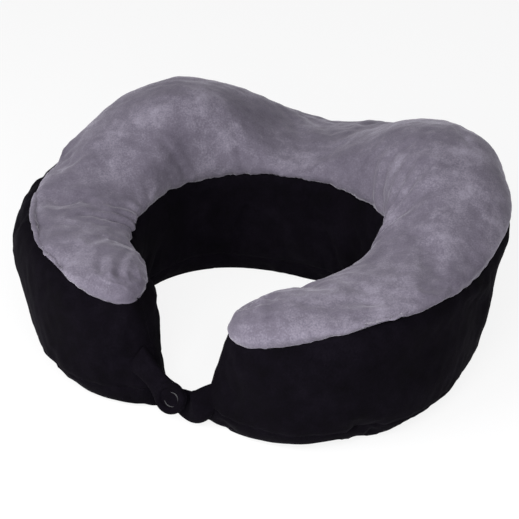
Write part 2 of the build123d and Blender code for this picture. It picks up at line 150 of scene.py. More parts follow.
def velour(name, shade, middle, light, patch, clump, tuft, sheen, tint, bump, gloss):
    """Brushed short-pile velour. Patch, clump and tuft are sizes in millimetres."""
    material, tree = new_material(name)
    place = add_node(tree, "ShaderNodeTexCoord").outputs["Object"]
    layers = []
    for size, detail, rough in ((patch, 3, 0.55), (clump, 3, 0.6), (tuft, 2, 0.7)):
        settings = {"Scale": per_mm(size), "Detail": detail, "Roughness": rough, "Distortion": 0.3}
        layers.append(add_node(tree, "ShaderNodeTexNoise", settings, {"Vector": place}).outputs["Fac"])
    mixed = layers[0]
    for layer, share in zip(layers[1:], (clump_share, tuft_share)):
        settings = {"data_type": "FLOAT", "Factor": share}
        mixed = add_node(tree, "ShaderNodeMix", settings, {2: mixed, 3: layer}).outputs[0]
    ramp = add_node(tree, "ShaderNodeValToRGB", links={"Fac": mixed})
    ramp.color_ramp.elements[0].position = darkest_at
    ramp.color_ramp.elements[0].color = linear(shade)
    ramp.color_ramp.elements[1].position = lightest_at
    ramp.color_ramp.elements[1].color = linear(light)
    ramp.color_ramp.elements.new(0.5).color = linear(middle)
    settings = {"Strength": 0.35 * bump, "Distance": 0.6 * mm}
    coarse = add_node(tree, "ShaderNodeBump", settings, {"Height": layers[1]})
    settings = {"Strength": bump, "Distance": 0.35 * mm}
    links = {"Height": layers[2], "Normal": coarse.outputs[0]}
    fine = add_node(tree, "ShaderNodeBump", settings, links)
    settings = {
        "Roughness": 0.95,
        "Specular IOR Level": gloss,
        "Sheen Weight": sheen,
        "Sheen Roughness": 0.38,
        "Sheen Tint": linear(tint),
    }
    finish_surface(tree, settings, {"Base Color": ramp.outputs[0], "Normal": fine.outputs[0]})
    return material


finishes = {}
grey_pile = ("4E4955", "605B67", "807B88", 30, 7, 1.0)
grey_light = {"sheen": 0.35, "tint": "E8E4F0", "bump": 0.6, "gloss": 0.15}
finishes["grey_velour"] = velour("velour_grey", *grey_pile, **grey_light)
black_pile = ("030204", "060409", "0C0910", 28, 7, 1.1)
black_light = {"sheen": 0.008, "tint": "B9A8D0", "bump": 0.5, "gloss": 0.05}
finishes["black_velour"] = velour("velour_black", *black_pile, **black_light)
print("velours:", [material.name for material in finishes.values()])

# %% [markdown]
# ## Foam, tape, nylon, enamel and moulded plastic
# Behind the velour are plainer finishes. Slow-recovery foam is matt and finely pitted. The zip's
# tape is a polyester twill with a fine diagonal rib, its teeth are bent from nylon monofilament,
# and its slider is a zinc casting under black enamel. The snap is moulded acetal, slightly glossy.

# %% Foam and tape


def pitted_foam(name):
    """Moulded slow-recovery foam: cream, matt, with fine open cells."""
    material, tree = new_material(name)
    place = add_node(tree, "ShaderNodeTexCoord").outputs["Object"]
    cells = add_node(tree, "ShaderNodeTexVoronoi", {"Scale": per_mm(1.6)}, {"Vector": place})
    cloud = add_node(tree, "ShaderNodeTexNoise", {"Scale": per_mm(30), "Detail": 3}, {"Vector": place})
    ramp = add_node(tree, "ShaderNodeValToRGB", links={"Fac": cloud.outputs["Fac"]})
    ramp.color_ramp.elements[0].color = linear("CDBF97")
    ramp.color_ramp.elements[1].color = linear("E4DBBE")
    settings = {"Strength": 0.5, "Distance": 0.3 * mm}
    bump = add_node(tree, "ShaderNodeBump", settings, {"Height": cells.outputs["Distance"]})
    links = {"Base Color": ramp.outputs[0], "Normal": bump.outputs[0]}
    finish_surface(tree, {"Roughness": 0.9}, links)
    return material


def twill_tape(name, hex_code, rib):
    """Woven polyester tape with a diagonal rib of this pitch in millimetres."""
    material, tree = new_material(name)
    place = add_node(tree, "ShaderNodeTexCoord").outputs["Object"]
    settings = {"Rotation": (0, math.radians(40), math.radians(35))}
    turned = add_node(tree, "ShaderNodeMapping", settings, {"Vector": place})
    settings = {"Scale": per_mm(rib) / math.tau, "Distortion": 0.4}
    wave = add_node(tree, "ShaderNodeTexWave", settings, {"Vector": turned.outputs[0]})
    settings = {"Strength": 0.7, "Distance": 0.2 * mm}
    bump = add_node(tree, "ShaderNodeBump", settings, {"Height": wave.outputs["Fac"]})
    # The tape is darkest where the rib's bump is lowest: painted shade in the grooves of the rib.
    colour = add_node(tree, "ShaderNodeValToRGB", links={"Fac": wave.outputs["Fac"]})
    colour.color_ramp.elements[0].color = linear("0C0B0E")
    colour.color_ramp.elements[1].color = linear(hex_code)
    links = {"Base Color": colour.outputs[0], "Normal": bump.outputs[0]}
    finish_surface(tree, {"Roughness": 0.8, "Sheen Weight": 0.05}, links)
    return material


finishes["memory_foam"] = pitted_foam("open_cell_foam")
finishes["zip_tape"] = twill_tape("polyester_twill", "232127", 0.6)

# %% [markdown]
# Smooth hard finishes share one recipe: one even colour, a roughness that
# varies where hands have polished it, and a fine orange-peel bump left by the mould or the paint.

# %% Nylon, enamel and acetal


def moulded(name, hex_code, roughness, grain, bump_strength):
    """A smooth hard finish. Grain is the size in millimetres of its orange peel."""
    material, tree = new_material(name)
    place = add_node(tree, "ShaderNodeTexCoord").outputs["Object"]
    links = {"Vector": place}
    peel = add_node(tree, "ShaderNodeTexNoise", {"Scale": per_mm(grain), "Detail": 2}, links)
    worn = add_node(tree, "ShaderNodeTexNoise", {"Scale": per_mm(5), "Detail": 4}, links)
    settings = {"To Min": roughness - 0.08, "To Max": roughness + 0.12}
    shine = add_node(tree, "ShaderNodeMapRange", settings, {"Value": worn.outputs["Fac"]})
    settings = {"Strength": bump_strength, "Distance": 0.05 * mm}
    bump = add_node(tree, "ShaderNodeBump", settings, {"Height": peel.outputs["Fac"]})
    links = {"Roughness": shine.outputs[0], "Normal": bump.outputs[0]}
    finish_surface(tree, {"Base Color": linear(hex_code)}, links)
    return material


finishes["zip_coil"] = moulded("nylon_monofilament", "1E1C22", 0.42, 0.5, 0.3)
finishes["zip_slider_metal"] = moulded("black_enamel", "18161A", 0.3, 0.4, 0.25)
finishes["snap_plastic"] = moulded("moulded_acetal", "121015", 0.56, 0.35, 0.3)
print("finishes:", sorted(finishes))

# %% [markdown]
# ## Shape of the pillow
# The cushion is one form swept round an open ring. Its top panel narrows evenly from the back to
# the tips, and its seams fall evenly from the two lobes to the tips. The other sizes of a cross
# section are given at five angles from the back (0 degrees) to the tip of an arm. The left and the
# right arm each have small differences of their own, because foam never sits quite even.

# %% Section values in millimetres
ring_half_width = 103.0
ring_half_depth = 95.0
tip_spread = 31.0
tip_angle = 180 - math.degrees(math.asin(tip_spread / 2 / ring_half_width))
tip_round = 45.0
tip_lean = 12.0
floor_radius = 14.0
back_foot_out = 38.0
zip_radius = ring_half_depth + back_foot_out
section_names = (
    "foot_out foot_in lean_out seam_out seam_out_height"
    " bulge_out seam_in seam_in_height crown crown_height"
).split()
back_angle, lobe_angle, side_angle, arm_angle, last_angle = 0, 45, 90, 130, 165
seam_width_back, seam_width_tip = 88.0, 48.0
outer_seam_back, outer_seam_lobe, outer_seam_tip = 70.0, 86.0, 62.0
inner_seam_back, inner_seam_lobe, inner_seam_tip = 78.0, 74.0, 64.0


def section_row(angle, shift, foot_out, foot_in, lean_out, bulge_out, crown, crown_height, differences):
    """All values of the section at an angle. The shift moves its top panel outwards."""
    half_width = (seam_width_back + (seam_width_tip - seam_width_back) * angle / last_angle) / 2
    fall = (angle - lobe_angle) / (last_angle - lobe_angle)
    row = {
        "foot_out": foot_out,
        "foot_in": foot_in,
        "lean_out": lean_out,
        "seam_out": shift + half_width,
        "seam_out_height": outer_seam_lobe + (outer_seam_tip - outer_seam_lobe) * fall,
        "bulge_out": bulge_out,
        "seam_in": shift - half_width,
        "seam_in_height": inner_seam_lobe + (inner_seam_tip - inner_seam_lobe) * fall,
        "crown": crown,
        "crown_height": crown_height,
    }
    if angle == back_angle:
        row |= {"seam_out_height": outer_seam_back, "seam_in_height": inner_seam_back}
    for name, extra in differences.items():
        row[name] += extra
    return [row[name] for name in section_names]


def arm_rows(lobe, side, arm, tip):
    """The four sections of one arm, each with that arm's own differences."""
    return [
        section_row(lobe_angle, 10.0, 33.0, -28.0, 12.0, 2.0, 6.0, 120.0, lobe),
        section_row(side_angle, 5.0, 32.0, -26.0, 8.0, 2.0, 5.0, 93.0, side),
        section_row(arm_angle, 3.0, 34.0, -25.0, 8.0, 7.0, 4.0, 81.0, arm),
        section_row(last_angle, 0.0, 24.0, -22.0, 3.0, 4.0, 1.0, 81.0, tip),
    ]


back = section_row(back_angle, 2.0, back_foot_out, -36.0, 12.0, 4.0, 6.0, 90.0, {})
right_arm = arm_rows(
    lobe={"seam_in_height": -1, "crown": 3, "crown_height": -1},
    side={"seam_out_height": -1, "seam_in": -4, "seam_out": -2, "foot_out": -2, "bulge_out": -2},
    arm={"seam_out_height": 6, "seam_in": -6, "foot_in": -5, "foot_out": 2},
    tip={"seam_in": -4, "foot_in": -7, "seam_out_height": -2, "seam_in_height": -2, "foot_out": 1},
)
left_arm = arm_rows(
    lobe={"seam_in": -3, "seam_in_height": -2, "bulge_out": 12, "seam_out": -2},
    side={"bulge_out": 36, "seam_out": -3, "seam_out_height": 3, "seam_in": -5},
    arm={"bulge_out": 6, "seam_out_height": 9, "seam_out": -1},
    tip={"seam_out_height": 4, "seam_in_height": 2, "foot_out": 2},
)
dip_middle = -7.0  # angle at which the back is lowest
left_longer, right_longer = 0.5, 3.0  # degrees added to each arm
most_foam_bulge = 6.0
inner_lean = 6.0
inner_bulge = 5.5
section_angles = (back_angle, lobe_angle, side_angle, arm_angle, last_angle)


def smooth_through(knots, values):
    """The natural cubic curve through rows of values at the knots, as a function."""
    gap = np.diff(knots)
    system = np.eye(len(knots))
    bend = np.zeros_like(values)
    for i in range(1, len(knots) - 1):
        system[i, i - 1 : i + 2] = gap[i - 1], 2 * (gap[i - 1] + gap[i]), gap[i]
        bend[i] = 6 * ((values[i + 1] - values[i]) / gap[i] - (values[i] - values[i - 1]) / gap[i - 1])
    bend = np.linalg.solve(system, bend)

    def curve(at):
        i = np.clip(np.searchsorted(knots, at) - 1, 0, len(knots) - 2)
        low = (at - knots[i])[:, None]
        high = (knots[i + 1] - at)[:, None]
        wide = gap[i][:, None]
        bent = (bend[i] * high**3 + bend[i + 1] * low**3) / (6 * wide)
        start = (values[i] / wide - bend[i] * wide / 6) * high
        end = (values[i + 1] / wide - bend[i + 1] * wide / 6) * low
        return bent + start + end

    return curve


section_knots = np.array([-a for a in section_angles[:0:-1]] + [dip_middle, *section_angles[1:]], float)
section_rows = np.array([*left_arm[::-1], back, *right_arm], float)
section_curve = smooth_through(section_knots, section_rows)
print("sections at", section_knots.tolist(), "degrees")

# %% [markdown]
# Every section is a loop of seven Bezier curves: the floor, the rounded outer corner, the outer
# wall, the two halves of the crown, the inner wall and the inner corner. All the loops together
# make a grid of points, columns along the ring and rows round the section, which numpy works out
# at once. Each curve gives its start and its two handles, and ends where the next one starts.
# Near a tip the sections narrow like a quarter circle.

# %% Rows and columns of the cover
curve_steps = {"floor": 14, "corner_out": 9, "wall_out": 30, "crown_out": 34}
curve_steps |= {"crown_in": 34, "wall_in": 28, "corner_in": 9}
curve_start = dict(zip(curve_steps, np.cumsum([0, *curve_steps.values()])))
rows = sum(curve_steps.values())
tip_columns = 40
arm_columns = 184
round_back_to, round_back_blend = 52, 10  # degrees over which the zip's circle sets the foot
corner_pull, foot_pull, seam_pull, crown_pull = 0.45, 0.35, 0.3, 0.6  # where the handles stand
least_share = 0.004  # width of the last section, as a share
mean_radius = (ring_half_width + ring_half_depth) / 2
half_length = math.radians(tip_angle) * mean_radius
tip_turn = np.linspace(0, math.pi / 2, tip_columns + 1)[:-1]
left_over = np.concatenate(
    [tip_round * (1 - np.cos(tip_turn)), np.linspace(tip_round, half_length, arm_columns + 1)]
)
half_angles = tip_angle - np.degrees(left_over / mean_radius)
near_tip = np.clip((half_angles - arm_angle) / (tip_angle - arm_angle), 0, 1)
left_half = half_angles + left_longer * near_tip
right_half = half_angles + right_longer * near_tip
angles = np.concatenate([-left_half, right_half[-2::-1]])
columns = len(angles)
print("cover grid:", columns, "columns of", rows, "rows")


def bezier_points(corners, steps):
    """Points of a Bezier curve, one row of corners per column of the ring, without the last."""
    t = np.linspace(0, 1, steps, endpoint=False)[None, :, None]
    a, b, c, d = (corner[:, None, :] for corner in corners)
    return a * (1 - t) ** 3 + b * 3 * t * (1 - t) ** 2 + c * 3 * t**2 * (1 - t) + d * t**3


def section_loops(at, inset=0.0):
    """Flat points of each section, columns by rows, as (out, up). An inset gives the foam's."""
    s = dict(zip(section_names, section_curve(np.clip(at, -last_angle, last_angle)).T))
    if inset:
        s["bulge_out"] = np.minimum(s["bulge_out"], most_foam_bulge)
    zero = np.zeros_like(at)
    r = floor_radius
    turn = np.radians(at)
    centre = np.stack([ring_half_width * np.sin(turn), ring_half_depth * np.cos(turn)], -1)
    outward = outward_of(at)
    along = (centre * outward).sum(1)
    reach = np.sqrt(along**2 - (centre**2).sum(1) + zip_radius**2)
    round_back = np.clip((round_back_to - np.abs(at)) / round_back_blend, 0, 1)
    foot_out = s["foot_out"] + (reach - along - s["foot_out"]) * round_back
    foot_in, seam_out, seam_in = s["foot_in"], s["seam_out"], s["seam_in"]
    high_out, high_in = s["seam_out_height"], s["seam_in_height"]
    crown, top = s["crown"], s["crown_height"]
    lean_out = np.tan(np.radians(s["lean_out"]))
    lean_in = math.tan(math.radians(inner_lean))
    rise_out, rise_in = high_out - r, high_in - r
    third = (foot_out - foot_in - 2 * r) / 3

    handles = (
        ((foot_in + r, 0), (foot_in + r + third, 0), (foot_out - r - third, 0)),
        (
            (foot_out - r, 0),
            (foot_out - corner_pull * r, 0),
            (foot_out - 0.5 * r * lean_out, 0.5 * r),
        ),
        (
            (foot_out, r),
            (foot_out + foot_pull * rise_out * lean_out, r + foot_pull * rise_out),
            (seam_out + s["bulge_out"], high_out - seam_pull * rise_out),
        ),
        (
            (seam_out, high_out),
            (seam_out + 1 + 0.2 * s["bulge_out"], high_out + crown_pull * (top - high_out)),
            (crown + crown_pull * (seam_out - crown), top),
        ),
        (
            (crown, top),
            (crown + crown_pull * (seam_in - crown), top),
            (seam_in - 1, high_in + crown_pull * (top - high_in)),
        ),
        (
            (seam_in, high_in),
            (seam_in - inner_bulge, high_in - seam_pull * rise_in),
            (foot_in - foot_pull * rise_in * lean_in, r + foot_pull * rise_in),
        ),
        (
            (foot_in, r),
            (foot_in + 0.5 * r * lean_in, 0.5 * r),
            (foot_in + corner_pull * r, 0),
        ),
    )
    corners = [np.stack([x + zero, y + zero], -1) for curve in handles for x, y in curve]
    corners.append(corners[0])
    curves = [
        bezier_points(corners[3 * number : 3 * number + 4], steps)
        for number, steps in enumerate(curve_steps.values())
    ]
    points = np.concatenate(curves, 1)
    if inset:
        step = np.roll(points, -1, 1) - np.roll(points, 1, 1)
        step /= np.linalg.norm(step, axis=2, keepdims=True)
        points += inset * np.stack([-step[..., 1], step[..., 0]], -1)
    longer = np.where(at > 0, right_longer, left_longer)
    longer = longer * np.clip((np.abs(at) - arm_angle) / (tip_angle + longer - arm_angle), 0, 1)
    length = np.radians(tip_angle - np.abs(at) + longer) * mean_radius
    share = np.sqrt(1 - (1 - np.clip((length - inset) / (tip_round - inset), 0, 1)) ** 2)
    share = np.maximum(share, least_share)[:, None]
    middle = ((seam_out + seam_in) / 2)[:, None]
    seam_height = ((high_out + high_in) / 2)[:, None]
    out = middle + (points[..., 0] - middle) * share
    up = points[..., 1]
    up = np.where(up > seam_height, seam_height + (up - seam_height) * share**0.8, up)
    return np.stack([out, up], -1)


def outward_of(at):
    """Level direction out of the ring at each angle."""
    turn = np.radians(at)
    outward = np.stack([np.sin(turn) / ring_half_width, np.cos(turn) / ring_half_depth], -1)
    return outward / np.linalg.norm(outward, axis=1, keepdims=True)


def on_ring(at, flat):
    """Places in the row frame, in metres, of flat section points at each angle."""
    turn = np.radians(at)
    level_out = outward_of(at)
    lean = -math.tan(math.radians(tip_lean)) * np.abs(at / tip_angle) ** 6 * np.sign(at)
    upward = np.stack([level_out[:, 1] * lean, -level_out[:, 0] * lean, np.ones_like(at)], -1)
    upward /= np.linalg.norm(upward, axis=1, keepdims=True)
    centre = np.stack([ring_half_width * np.sin(turn), ring_half_depth * np.cos(turn), 0 * at], -1)
    centre[:, 1] += ring_middle_y / mm
    outward = np.concatenate([level_out, np.zeros((len(at), 1))], 1)
    place = centre[:, None] + flat[..., :1] * outward[:, None] + flat[..., 1:] * upward[:, None]
    return place * mm


cover = on_ring(angles, section_loops(angles))

# %% [markdown]
# ## Working on the grid
# The same few sums are needed again and again: which way each point faces, how far it lies from
# the nearest seam, and a mesh made of part of the grid. `create_grid` makes the mesh, and its
# vertices are then moved to their places.

# %% Grid helpers
seam_rows = {
    "outer_foot": curve_start["wall_out"],
    "outer_top": curve_start["crown_out"],
    "inner_top": curve_start["wall_in"],
    "inner_foot": curve_start["corner_in"],
}


def facing(places):
    """Outward unit normal at each point of the grid."""
    along = np.gradient(places, axis=0)
    across = np.roll(places, -1, 1) - np.roll(places, 1, 1)
    normal = np.cross(across, along)
    length = np.linalg.norm(normal, axis=2, keepdims=True)
    return normal / np.maximum(length, 1e-12)


def from_row(places, row):
    """Distance in metres from each point to a row of the grid, measured along its column."""
    step = np.linalg.norm(np.roll(places, -1, 1) - places, axis=2)
    total = step.sum(1, keepdims=True)
    travelled = np.concatenate([np.zeros((len(places), 1)), np.cumsum(step, 1)[:, :-1]], 1)
    away = np.abs(travelled - travelled[:, row : row + 1])
    return np.minimum(away, total - away)


def mesh_of(bm, name):
    """A smooth-shaded mesh made of a bmesh, which is freed."""
    for face in bm.faces:
        face.smooth = True
    mesh = bpy.data.meshes.new(name)
    bm.to_mesh(mesh)
    bm.free()
    return mesh


def welded(mesh, distance):
    """A bmesh of the mesh, with the points merged that lie closer than this."""
    bm = bmesh.new()
    bm.from_mesh(mesh)
    bmesh.ops.remove_doubles(bm, verts=bm.verts, dist=distance)
    return bm


def mesh_from(name, places, material):
    """A mesh object over part of the grid, facing outwards."""
    across, up = places.shape[:2]
    bm = bmesh.new()
    bmesh.ops.create_grid(bm, x_segments=across - 1, y_segments=up - 1, size=1)
    for vertex in bm.verts:
        column = round((vertex.co.x + 1) / 2 * (across - 1))
        row = round((vertex.co.y + 1) / 2 * (up - 1))
        vertex.co = places[column, row]
    bmesh.ops.reverse_faces(bm, faces=bm.faces)
    return new_piece(name, mesh_of(bm, name), material)


def new_piece(name, mesh, material):
    """An object for the mesh, with its material, in the scene."""
    piece = bpy.data.objects.new(name, mesh)
    mesh.materials.append(material)
    bpy.context.scene.collection.objects.link(piece)
    return piece


def picked_rows(places, first, last):
    """The grid from one row to another, wrapping round past the last."""
    return np.take(places, range(first, last + 1), axis=1, mode="wrap")


print("rows of the seams:", {name: int(row) for name, row in seam_rows.items()})


# %% [markdown]
# ## Cloth over foam
# The cover is a little larger than the foam and the foam pushes it out. A cloth simulation on a
# coarser grid does that: a light pressure from inside, no gravity, and fabric two per cent too
# big. The upper seams, the floor, the cloth by the zip and the tips are held. What the cloth has
# moved in twenty frames is read back as a shift, kept small, and added to the fine grid.

# %% Cloth simulation
cloth_frames = 20
cloth_pressure = 4.0
cloth_growth = 0.02
most_shift = 4.0 * mm
swelling_kept = 0.4
seam_hold = 6 * mm
slot_half_width = 4.4 * mm
slot_end = 44.4
slot_taper = 1.6
held_past_slot = 6
held_rows_by_foot = 4
held_tip_columns = 4
coarse_columns = np.unique([*range(0, columns, 3), columns - 1])
coarse_rows = np.unique([*range(0, rows, 2), *seam_rows.values()])


def smoothed(values, reach):
    """Running mean over the grid, open along the ring and closed round the section."""
    total = np.zeros_like(values)
    padded = np.pad(values, ((reach, reach), (0, 0), (0, 0)), mode="edge")
    for step in range(2 * reach + 1):
        total += padded[step : step + len(values)]
    turned = total / (2 * reach + 1)
    return sum(np.roll(turned, step, 1) for step in range(-reach, reach + 1)) / (2 * reach + 1)


def held_points(shape):
    """True where the coarse grid is held: upper seams, floor, zip and tips."""
    held = np.zeros(shape, bool)
    held[:, coarse_rows <= curve_start["corner_out"]] = True
    for seam in ("outer_top", "inner_top"):
        held[:, coarse_rows == seam_rows[seam]] = True
    by_zip = np.abs(angles[coarse_columns]) < slot_end + held_past_slot
    near_foot = np.abs(coarse_rows - seam_rows["outer_foot"]) <= held_rows_by_foot
    held |= by_zip[:, None] & near_foot
    held[:held_tip_columns] = held[-held_tip_columns:] = True
    return held


def cloth_shift(places):
    """How far each coarse point has moved once the fabric has settled."""
    coarse = places[coarse_columns][:, coarse_rows]
    count_across, count_round = coarse.shape[:2]
    loop = np.concatenate([coarse, coarse[:, :1]], 1)
    bag = mesh_from("bag", loop, finishes["black_velour"])
    bm = welded(bag.data, 0.0005 * mm)
    bm.to_mesh(bag.data)
    bm.free()
    start = np.empty(len(bag.data.vertices) * 3)
    bag.data.vertices.foreach_get("co", start)
    start = start.reshape(-1, 3)
    tree = KDTree(len(start))
    for index, place in enumerate(start):
        tree.insert(Vector(place), index)
    tree.balance()
    match = np.array([tree.find(Vector(place))[1] for place in coarse.reshape(-1, 3)])
    pins = bag.vertex_groups.new(name="held")
    held = held_points((count_across, count_round)).reshape(-1)
    pins.add([int(index) for index in np.unique(match[held])], 1.0, "REPLACE")
    cloth = bag.modifiers.new("cloth", "CLOTH")
    cloth.settings.quality = 5
    cloth.settings.mass = 0.25
    cloth.settings.tension_stiffness = 20
    cloth.settings.compression_stiffness = 20
    cloth.settings.shear_stiffness = 8
    cloth.settings.bending_stiffness = 0.4
    cloth.settings.use_pressure = True
    cloth.settings.uniform_pressure_force = cloth_pressure
    cloth.settings.shrink_min = -cloth_growth
    cloth.settings.vertex_group_mass = "held"
    cloth.settings.effector_weights.gravity = 0
    cloth.collision_settings.use_collision = False
    cloth.point_cache.frame_start = 1
    cloth.point_cache.frame_end = cloth_frames
    for frame_number in range(1, cloth_frames + 1):
        bpy.context.scene.frame_set(frame_number)
    settled = bag.evaluated_get(bpy.context.evaluated_depsgraph_get()).to_mesh()
    end = np.empty(len(start) * 3)
    settled.vertices.foreach_get("co", end)
    bpy.data.objects.remove(bag, do_unlink=True)
    bpy.context.scene.frame_set(1)
    moved = (end.reshape(-1, 3) - start)[match]
    return moved.reshape(count_across, count_round, 3)


def spread_out(coarse):
    """The shift on the fine grid, straight-line between the coarse points."""
    across = np.arange(columns)
    round_about = np.arange(rows)
    coarse_places = range(coarse.shape[1])
    wide = [
        [np.interp(across, coarse_columns, coarse[:, row, axis]) for row in coarse_places]
        for axis in range(3)
    ]
    wide = np.stack(wide)
    fine = [
        [np.interp(round_about, coarse_rows, wide[axis, :, column], period=rows) for column in across]
        for axis in range(3)
    ]
    return np.stack(fine, -1)


form = cover.copy()
to_upper_seams = [from_row(form, seam_rows[seam]) for seam in ("outer_top", "inner_top")]
near_seam = np.minimum(*to_upper_seams)
free_of_seam = 1 - np.exp(-((near_seam / seam_hold) ** 2))
moved = cloth_shift(form)
swelling = smoothed(moved, 4)
moved = moved - (1 - swelling_kept) * swelling
length = np.linalg.norm(moved, axis=2, keepdims=True)
moved *= np.minimum(1, most_shift / np.maximum(length, 1e-9))
cover += spread_out(moved) * free_of_seam[..., None]
print("cloth moved", round(float(length.max()) / mm, 2), "mm at most")

# %% [markdown]
# ## Seams, puckers and creases
# Thread draws the cloth down into the foam along each seam, and gathers it into short puckers
# beside the seam. The foam's own skin gives broad, shallow lumps. The long creases are listed:
# each runs from one point to another on the top panel, given as an angle round the ring and a
# share of the way from the outer seam (0) to the inner seam (1), and then comes its depth and its
# width in millimetres. A low ridge stands on each side of a crease, where the cloth goes.

# %% Small relief
rng = np.random.default_rng(7)


def waves(places, shortest, longest, count=14):
    """Smooth noise about 0 to 1 in size, from waves between two lengths in millimetres."""
    total = np.zeros(places.shape[:2])
    for _ in range(count):
        heading = rng.normal(size=3)
        heading /= np.linalg.norm(heading)
        length = rng.uniform(shortest, longest) * mm
        total += np.sin(places @ heading * (math.tau / length) + rng.uniform(0, math.tau))
    return total / math.sqrt(count / 2)


flat_below, full_above = 2 * mm, 10 * mm
calm_width = 11 * mm
calm_past_slot, calm_blend = 6, 5
above_floor = np.clip((cover[..., 2] - flat_below) / (full_above - flat_below), 0, 1)
beside_zip = np.exp(-((from_row(form, seam_rows["outer_foot"]) / calm_width) ** 2))
by_slot = np.clip((slot_end + calm_past_slot - np.abs(angles)) / calm_blend, 0, 1)
calm_at_zip = 1 - beside_zip * by_slot[:, None]
seam_depths = {"outer_top": 1.5, "inner_top": 1.5, "outer_foot": 0.25, "inner_foot": 0.4}
seam_width = 3.4 * mm
pucker_fade = 7 * mm
lump_height, grain_height, pucker_share = 0.5, 0.12, 0.17
relief = lump_height * waves(cover, 28, 50) + grain_height * waves(cover, 6, 12)
pucker_waves = waves(cover, 7, 13)
for seam, depth in seam_depths.items():
    away = from_row(cover, seam_rows[seam])
    relief -= depth * np.exp(-((away / seam_width) ** 2))
    relief += pucker_share * depth * pucker_waves * np.exp(-away / pucker_fade)

top_first, top_last = seam_rows["outer_top"], seam_rows["inner_top"]
to_outer_seam = from_row(cover, top_first)
across_top = to_outer_seam[:, top_last : top_last + 1]
top_share = to_outer_seam / across_top
panel_width = across_top / mm
crease_overrun = 3 * mm
ridge_share, ridge_at, crease_fade = 0.45, 2.2, 0.6
on_top = np.exp(-((near_seam / crease_overrun) ** 2))
on_top[:, top_first : top_last + 1] = 1
creases = (
    (72, 0.95, 60, 0.66, 3.0, 3.6),
    (79, 0.95, 65, 0.6, 3.4, 3.8),
    (86, 0.92, 74, 0.58, 2.8, 3.8),
    (53, 0.97, 47, 0.72, 1.4, 3.6),
    (43, 0.97, 38, 0.74, 1.2, 3.6),
    (-121, 0.98, -121, 0.5, 3.0, 2.8),
    (-115, 0.97, -118, 0.55, 1.8, 2.4),
    (-107, 0.95, -113, 0.62, 1.2, 2.6),
    (-158, 0.3, -149, 0.5, 1.7, 2.4),
    (-163, 0.42, -153, 0.72, 1.5, 2.2),
    (-146, 0.12, -142, 0.3, 1.0, 2.4),
    (-60, 0.98, -70, 0.74, 1.2, 2.8),
    (-30, 0.98, -34, 0.74, 1.0, 3.0),
    (10, 0.35, 16, 0.1, 1.4, 3.0),
    (128, 0.25, 146, 0.4, 1.0, 3.4),
    (158, 0.2, 160, 0.6, 1.2, 2.6),
)
along_ring = np.radians(angles)[:, None] * mean_radius
for angle_from, share_from, angle_to, share_to, depth, width in creases:
    run_x = math.radians(angle_to - angle_from) * mean_radius
    run_y = (share_to - share_from) * panel_width
    x = along_ring - math.radians(angle_from) * mean_radius
    y = (top_share - share_from) * panel_width
    t = np.clip((x * run_x + y * run_y) / (run_x**2 + run_y**2), 0, 1)
    beyond = np.hypot(x - t * run_x, y - t * run_y)
    valley = np.exp(-((beyond / width) ** 2))
    ridge = np.exp(-(((beyond - ridge_at * width) / width) ** 2))
    relief += depth * (-valley + ridge_share * ridge) * (1 - crease_fade * t) * on_top
cover += (relief * above_floor * calm_at_zip * mm)[..., None] * facing(form)
cover[..., 2] = np.maximum(cover[..., 2], 0)
print("relief", round(float(relief.min()), 1), "to", round(float(relief.max()), 1), "mm")

# %% [markdown]
# Pile hides the thread, so the line between grey and black is never quite straight: it wanders by
# a fraction of a millimetre. The points beside each upper seam slide along the cloth to do that.

# %% Uneven seam line
short_wander, long_wander = 0.16, 0.3
narrow_below = 40
wander = short_wander * waves(cover, 4, 9)[:, top_first]
wander = wander + long_wander * waves(cover, 18, 30)[:, top_first]
calmer_at_tips = np.clip(panel_width[:, 0] / narrow_below, 0, 1)
for seam in ("outer_top", "inner_top"):
    row = seam_rows[seam]
    slide = cover[:, row + 2] - cover[:, row - 2]
    slide /= np.maximum(np.linalg.norm(slide, axis=1, keepdims=True), 1e-9)
    for offset, share in ((-2, 0.3), (-1, 0.7), (0, 1.0), (1, 0.7), (2, 0.3)):
        cover[:, row + offset] += (share * wander * mm * calmer_at_tips)[:, None] * slide
print("seam line wanders up to", round(float(np.abs(wander).max()), 2), "mm")

# %% [markdown]
# ## The four panels
# Top, outer side, inner side and bottom are cut from the grid along the seams and given the
# thickness of the cloth, inwards, so that the outside keeps its size. Low on the outside of the
# back, the edges of two panels stand apart for the zip, so their columns are drawn back there.

# %% Panels
cloth_thickness = 1.6 * mm
panel_rows = {
    "top_panel": (seam_rows["outer_top"], seam_rows["inner_top"]),
    "outer_side_panel": (seam_rows["outer_foot"], seam_rows["outer_top"]),
    "inner_side_panel": (seam_rows["inner_top"], seam_rows["inner_foot"]),
    "bottom_panel": (seam_rows["inner_foot"], rows + seam_rows["outer_foot"]),
}
slot_opening = slot_half_width * np.clip((slot_end - np.abs(angles)) / slot_taper, 0, 1) ** 0.5


def drawn_back(places, opening, at_first):
    """The panel with each column shortened by the opening at its first or its last row."""
    moved = places if at_first else places[:, ::-1]
    result = moved.copy()
    for column, gap in enumerate(opening):
        if gap > 0:
            line = moved[column]
            run = np.concatenate([[0], np.cumsum(np.linalg.norm(np.diff(line, axis=0), axis=1))])
            wanted = gap + (run[-1] - gap) * run / run[-1]
            result[column] = np.stack([np.interp(wanted, run, line[:, axis]) for axis in range(3)], 1)
    return result if at_first else result[:, ::-1]


